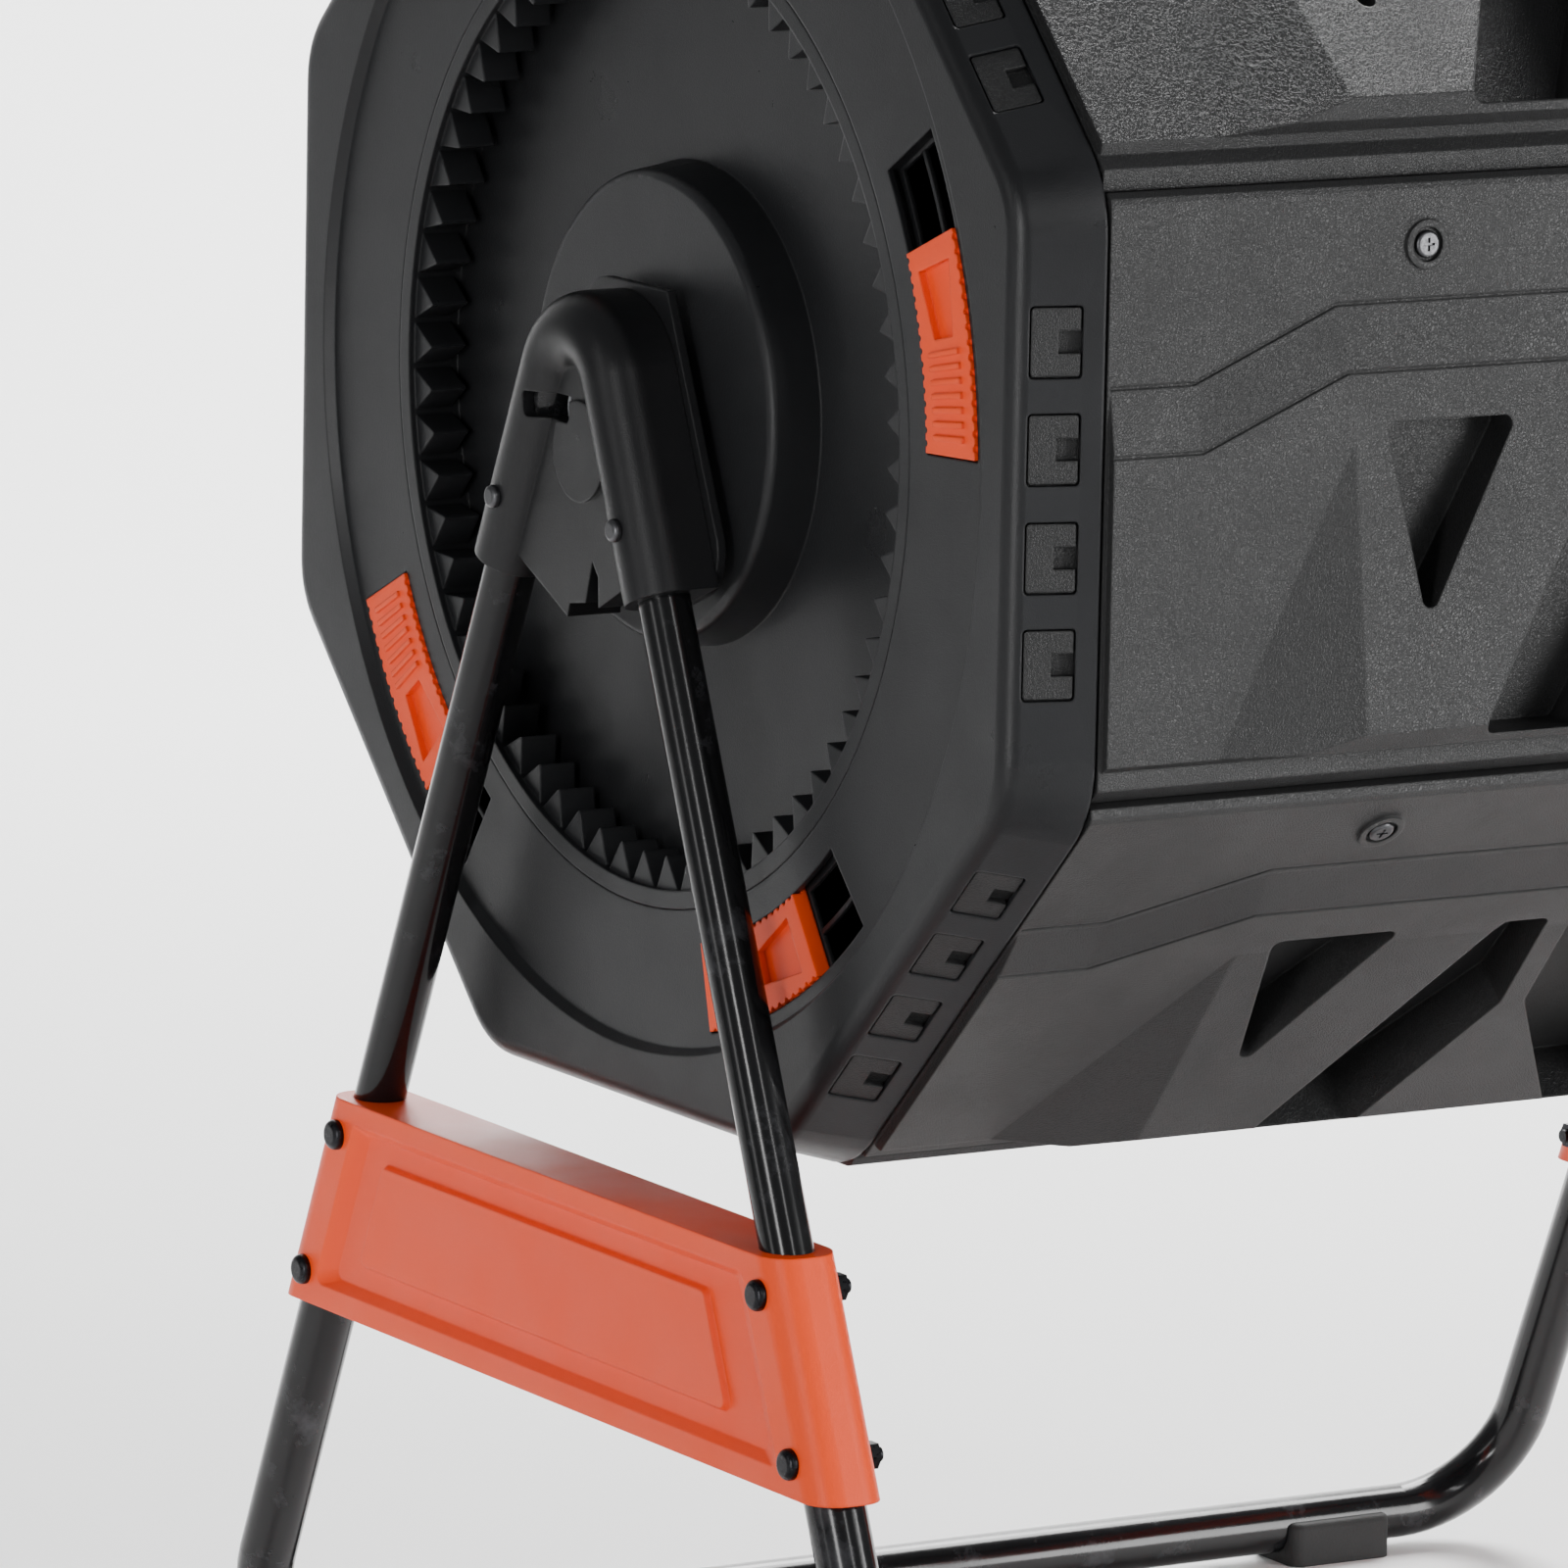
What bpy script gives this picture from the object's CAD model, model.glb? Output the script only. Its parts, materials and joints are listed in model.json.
import json
import math

import bpy
from mathutils import Matrix, Vector

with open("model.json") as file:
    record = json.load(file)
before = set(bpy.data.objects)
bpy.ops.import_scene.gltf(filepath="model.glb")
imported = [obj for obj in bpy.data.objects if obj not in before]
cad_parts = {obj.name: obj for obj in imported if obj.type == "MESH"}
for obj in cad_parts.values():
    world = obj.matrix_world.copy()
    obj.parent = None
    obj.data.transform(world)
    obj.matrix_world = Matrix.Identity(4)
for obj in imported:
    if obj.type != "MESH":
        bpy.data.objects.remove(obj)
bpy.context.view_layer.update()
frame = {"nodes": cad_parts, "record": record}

NODES = frame["nodes"]

EDGE_ROUND = 0.0014  # radius that the shading gives to moulded edges
EDGE_SAMPLES = 4
GRAIN_WARP = 0.004
SCUFF_GREY = (0.05, 0.05, 0.055)
CLOUD_SCALE = 6.0  # broad patches of tone on plastic
SMUDGE_SCALE = 23.0  # smaller patches of roughness on plastic
SMUDGE_AMOUNT = 0.06
EDGE_POINTINESS = (0.52, 0.6)  # where a convex edge starts and ends
EDGE_PALENESS = 0.5
SCUFF_SCALE = 40.0
PEEL_SCALE = 420.0
BRUSH_SCALE = 600.0
METAL_PATCH_SCALE = 60.0
PLASTIC_IOR = 1.49


# ---------------------------------------------------------------- materials
def new_material(name):
    """A new material, with its node tree and its Principled shader."""
    mat = bpy.data.materials.new(name)
    mat.use_nodes = True
    tree = mat.node_tree
    shader = next(n for n in tree.nodes if n.type == "BSDF_PRINCIPLED")
    return mat, tree, shader


def object_coords(tree, scale=(1, 1, 1)):
    """The piece's own coordinates, in metres, times a scale."""
    coords = tree.nodes.new("ShaderNodeTexCoord")
    mapping = tree.nodes.new("ShaderNodeMapping")
    mapping.inputs["Scale"].default_value = scale
    tree.links.new(coords.outputs["Object"], mapping.inputs["Vector"])
    return mapping.outputs["Vector"]


def noise(tree, vector, scale, detail=4.0, rough=0.5):
    """Noise from 0 to 1, with this many cells to a metre."""
    node = tree.nodes.new("ShaderNodeTexNoise")
    node.inputs["Scale"].default_value = scale
    node.inputs["Detail"].default_value = detail
    node.inputs["Roughness"].default_value = rough
    tree.links.new(vector, node.inputs["Vector"])
    return node.outputs["Fac"]


def ramp(tree, value, low, high, start=0.0, end=1.0):
    """Map a value's range start..end to low..high."""
    node = tree.nodes.new("ShaderNodeMapRange")
    node.inputs["From Min"].default_value = start
    node.inputs["From Max"].default_value = end
    node.inputs["To Min"].default_value = low
    node.inputs["To Max"].default_value = high
    tree.links.new(value, node.inputs["Value"])
    return node.outputs["Result"]


def mix_color(tree, factor, a, b):
    """Colour a where the factor is 0 and b where it is 1."""
    node = tree.nodes.new("ShaderNodeMix")
    node.data_type = "RGBA"
    node.inputs[6].default_value = (*a, 1)  # the colour sockets A and B
    node.inputs[7].default_value = (*b, 1)
    tree.links.new(factor, node.inputs["Factor"])
    return node.outputs[2]


def bump(tree, height, strength, distance, normal=None):
    """Surface normals raised by a height, on top of another normal if there is one."""
    node = tree.nodes.new("ShaderNodeBump")
    node.inputs["Strength"].default_value = strength
    node.inputs["Distance"].default_value = distance
    tree.links.new(height, node.inputs["Height"])
    if normal is not None:
        tree.links.new(normal, node.inputs["Normal"])
    return node.outputs["Normal"]


def worn_edges(tree):
    """A value that is high on convex edges and 0 elsewhere."""
    geo = tree.nodes.new("ShaderNodeNewGeometry")
    return ramp(tree, geo.outputs["Pointiness"], 0.0, EDGE_PALENESS, *EDGE_POINTINESS)


def leather_height(tree, where, scale):
    """Height of a leather grain: small irregular cells with sunken borders."""
    cells = tree.nodes.new("ShaderNodeTexVoronoi")
    cells.feature = "DISTANCE_TO_EDGE"
    cells.inputs["Scale"].default_value = scale
    shift = tree.nodes.new("ShaderNodeVectorMath")
    shift.operation = "MULTIPLY_ADD"
    shift.inputs[1].default_value = (GRAIN_WARP, GRAIN_WARP, GRAIN_WARP)
    tree.links.new(noise(tree, where, scale * 0.6, 2.0), shift.inputs[0])
    tree.links.new(where, shift.inputs[2])
    tree.links.new(shift.outputs[0], cells.inputs["Vector"])
    return ramp(tree, cells.outputs["Distance"], 0.0, 1.0, 0.0, 0.22)


def plastic(name, color, light, rough, grain_scale, grain_depth, grain="noise", shine=0.5):
    """Moulded plastic: a fine grain, faint cloudy patches and slightly paler rubbed edges."""
    mat, tree, shader = new_material(name)
    where = object_coords(tree)
    cloud = noise(tree, where, CLOUD_SCALE, 5.0)
    smudge = noise(tree, where, SMUDGE_SCALE, 6.0, 0.6)
    edge = worn_edges(tree)
    tone = tree.nodes.new("ShaderNodeMath")
    tone.operation = "ADD"
    tree.links.new(ramp(tree, cloud, 0.0, 0.5, 0.35, 0.75), tone.inputs[0])
    tree.links.new(edge, tone.inputs[1])
    tree.links.new(mix_color(tree, tone.outputs[0], color, light), shader.inputs["Base Color"])
    uneven = ramp(tree, smudge, rough - SMUDGE_AMOUNT, rough + SMUDGE_AMOUNT, 0.3, 0.7)
    tree.links.new(uneven, shader.inputs["Roughness"])
    if grain == "leather":
        height = leather_height(tree, where, grain_scale)
    else:
        height = noise(tree, where, grain_scale, 3.0, 0.6)
    soft = tree.nodes.new("ShaderNodeBevel")
    soft.samples = EDGE_SAMPLES
    soft.inputs["Radius"].default_value = EDGE_ROUND
    fine = bump(tree, height, 0.7, grain_depth, soft.outputs["Normal"])
    broad = bump(tree, cloud, 0.25, 0.002, fine)
    tree.links.new(broad, shader.inputs["Normal"])
    shader.inputs["IOR"].default_value = PLASTIC_IOR
    shader.inputs["Specular IOR Level"].default_value = shine
    return mat


def gloss_paint(name, color):
    """Powder coat: a faint orange-peel surface with small scuffs."""
    mat, tree, shader = new_material(name)
    where = object_coords(tree)
    peel = noise(tree, where, PEEL_SCALE, 2.0)
    scuff = noise(tree, where, SCUFF_SCALE, 8.0, 0.7)
    marks = ramp(tree, scuff, 0, 1, 0.55, 0.8)
    tree.links.new(mix_color(tree, marks, color, SCUFF_GREY), shader.inputs["Base Color"])
    tree.links.new(ramp(tree, scuff, 0.15, 0.21, 0.4, 0.75), shader.inputs["Roughness"])
    tree.links.new(bump(tree, peel, 0.05, 0.0003), shader.inputs["Normal"])
    shader.inputs["Specular IOR Level"].default_value = 0.35
    return mat


def metal(name, color, rough, stretch=(1, 1, 1)):
    """Bare or plated metal: fine brushing and slightly darker patches."""
    mat, tree, shader = new_material(name)
    where = object_coords(tree, stretch)
    brushed = noise(tree, where, BRUSH_SCALE, 4.0, 0.6)
    patch = noise(tree, where, METAL_PATCH_SCALE, 4.0)
    shader.inputs["Metallic"].default_value = 1.0
    darker = [channel * 0.75 for channel in color]
    tree.links.new(mix_color(tree, patch, darker, color), shader.inputs["Base Color"])
    tree.links.new(ramp(tree, brushed, rough - 0.08, rough + 0.12, 0.3, 0.7), shader.inputs["Roughness"])
    tree.links.new(bump(tree, brushed, 0.15, 0.0002), shader.inputs["Normal"])
    return mat


CHARCOAL = (0.0095, 0.0097, 0.0105)
CHARCOAL_PALE = (0.019, 0.0195, 0.021)
PANEL_GREY = (0.011, 0.011, 0.0112)
PANEL_GREY_PALE = (0.020, 0.020, 0.0203)
BLACK = (0.006, 0.006, 0.0065)
BLACK_PALE = (0.012, 0.012, 0.013)
ORANGE = (0.86, 0.055, 0.002)
ORANGE_PALE = (0.90, 0.070, 0.004)
RUBBER = (0.010, 0.010, 0.010)
RUBBER_PALE = (0.02, 0.02, 0.02)
NYLON = (0.45, 0.44, 0.41)
NYLON_PALE = (0.55, 0.54, 0.5)
ZINC = (0.62, 0.63, 0.65)
BOLT_BLACK = (0.03, 0.03, 0.033)
SCREW_GREY = (0.11, 0.11, 0.115)
ALONG_X = (0.05, 1, 1)  # stretches the zinc's brushing along the axle

MATERIALS = {
    "charcoal": plastic("charcoal", CHARCOAL, CHARCOAL_PALE, 0.33, 1500, 0.00015, shine=0.28),
    "panel_grain": plastic(
        "panel_grain", PANEL_GREY, PANEL_GREY_PALE, 0.42, 800, 0.00014, grain="leather", shine=0.36
    ),
    "black_plastic": plastic("black_plastic", BLACK, BLACK_PALE, 0.33, 1500, 0.00012, shine=0.3),
    "orange": plastic("orange", ORANGE, ORANGE_PALE, 0.42, 1300, 0.00012, shine=0.3),
    "black_paint": gloss_paint("black_paint", BLACK),
    "rubber": plastic("rubber", RUBBER, RUBBER_PALE, 0.75, 700, 0.0004),
    "bushing": plastic("bushing", NYLON, NYLON_PALE, 0.5, 1200, 0.0002),
    "zinc": metal("zinc", ZINC, 0.35, ALONG_X),
    "black_bolt": metal("black_bolt", BOLT_BLACK, 0.30),
    "screw_steel": metal("screw_steel", SCREW_GREY, 0.38),
}
SLOT_OF = {s["node"]: s["material_slot"] for s in frame["record"]["subparts"]}
for name, node in NODES.items():
    node.data.materials.clear()
    node.data.materials.append(MATERIALS[SLOT_OF[name]])
    for poly in node.data.polygons:
        poly.material_index = 0

# ------------------------------------------------------------------- stage
FLOOR_WHITE = (0.94, 0.94, 0.935)
FLOOR_WHITER = (0.96, 0.96, 0.955)
FLOOR_SIDE = 9.0  # half the floor's width, and how far it runs forwards
FLOOR_BACK = 2.6  # where the floor starts to bend up into the backdrop
BACKDROP_BEND = 2.0
BACKDROP_TOP = 6.0
BEND_STEPS = 24
VIEW_TURN = -31.0  # the backdrop is square to the view, in degrees about Z


def make_backdrop():
    """A plain pale floor that curves up into a backdrop behind the object."""
    mat, tree, shader = new_material("floor")
    tone = noise(tree, object_coords(tree), 3.0, 4.0)
    tree.links.new(mix_color(tree, tone, FLOOR_WHITE, FLOOR_WHITER), shader.inputs["Base Color"])
    shader.inputs["Roughness"].default_value = 0.6
    profile = [(-FLOOR_SIDE, 0.0), (FLOOR_BACK, 0.0)]
    for step in range(1, BEND_STEPS + 1):
        turn = math.pi / 2 * step / BEND_STEPS
        profile.append((
            FLOOR_BACK + BACKDROP_BEND * math.sin(turn),
            BACKDROP_BEND * (1 - math.cos(turn)),
        ))
    profile.append((FLOOR_BACK + BACKDROP_BEND, BACKDROP_TOP))
    verts = [(side, along, up) for along, up in profile for side in (-FLOOR_SIDE, FLOOR_SIDE)]
    faces = [(2 * i, 2 * i + 1, 2 * i + 3, 2 * i + 2) for i in range(len(profile) - 1)]
    mesh = bpy.data.meshes.new("floor")
    mesh.from_pydata(verts, [], faces)
    for poly in mesh.polygons:
        poly.use_smooth = True
    mesh.materials.append(mat)
    floor = bpy.data.objects.new("floor", mesh)
    floor.rotation_euler = (0, 0, math.radians(VIEW_TURN))
    bpy.context.collection.objects.link(floor)


def area_light(name, place, aim, size_x, size_y, power):
    """A rectangular light at a place, turned towards a point."""
    data = bpy.data.lights.new(name, "AREA")
    data.shape = "RECTANGLE"
    data.size = size_x
    data.size_y = size_y
    data.energy = power
    light = bpy.data.objects.new(name, data)
    light.location = place
    light.rotation_euler = (Vector(aim) - Vector(place)).to_track_quat("-Z", "Y").to_euler()
    bpy.context.collection.objects.link(light)


make_backdrop()
MIDDLE = (0, 0, 0.55)
BACKDROP_FOOT = (1.9, 3.4, 0.2)
# a long soft key from the right rakes the near side; the backdrop has a light of its own
area_light("key", (2.1, -3.1, 0.85), MIDDLE, 1.2, 2.0, 120)
area_light("stripe", (-0.6, -4.2, 2.2), MIDDLE, 0.35, 2.2, 22)
area_light("rim", (-3.1, -2.0, 0.95), MIDDLE, 0.45, 1.8, 48)
area_light("side", (-3.6, 0.2, 1.4), MIDDLE, 0.5, 2.0, 10)
area_light("backdrop", (2.0, 3.4, 3.3), BACKDROP_FOOT, 5.0, 1.6, 640)

SKY = (0.95, 0.97, 1.0, 1)
SKY_STRENGTH = 0.26
world = bpy.data.worlds.new("studio")
bpy.context.scene.world = world
world.use_nodes = True
world.node_tree.nodes["Background"].inputs["Color"].default_value = SKY
world.node_tree.nodes["Background"].inputs["Strength"].default_value = SKY_STRENGTH

# ------------------------------------------------------------------ camera
LENS = 281.25  # mm, on a 36 mm sensor: a long lens
CAMERA_PLACE = (-2.8281, -4.3034, 1.3296)
CAMERA_AZIMUTH = -121.073  # degrees: where the camera stands, seen from the object
CAMERA_ELEVATION = 10.019
CAMERA_ROLL = 1.162

camera_data = bpy.data.cameras.new("camera")
camera_data.sensor_fit = "HORIZONTAL"
camera_data.sensor_width = 36
camera_data.lens = LENS
camera_data.clip_end = 60
camera = bpy.data.objects.new("camera", camera_data)
camera.matrix_world = (
    Matrix.Translation(CAMERA_PLACE)
    @ Matrix.Rotation(math.radians(CAMERA_AZIMUTH + 90), 4, "Z")
    @ Matrix.Rotation(math.radians(90 - CAMERA_ELEVATION), 4, "X")
    @ Matrix.Rotation(math.radians(CAMERA_ROLL), 4, "Z")
)
bpy.context.collection.objects.link(camera)
bpy.context.scene.camera = camera
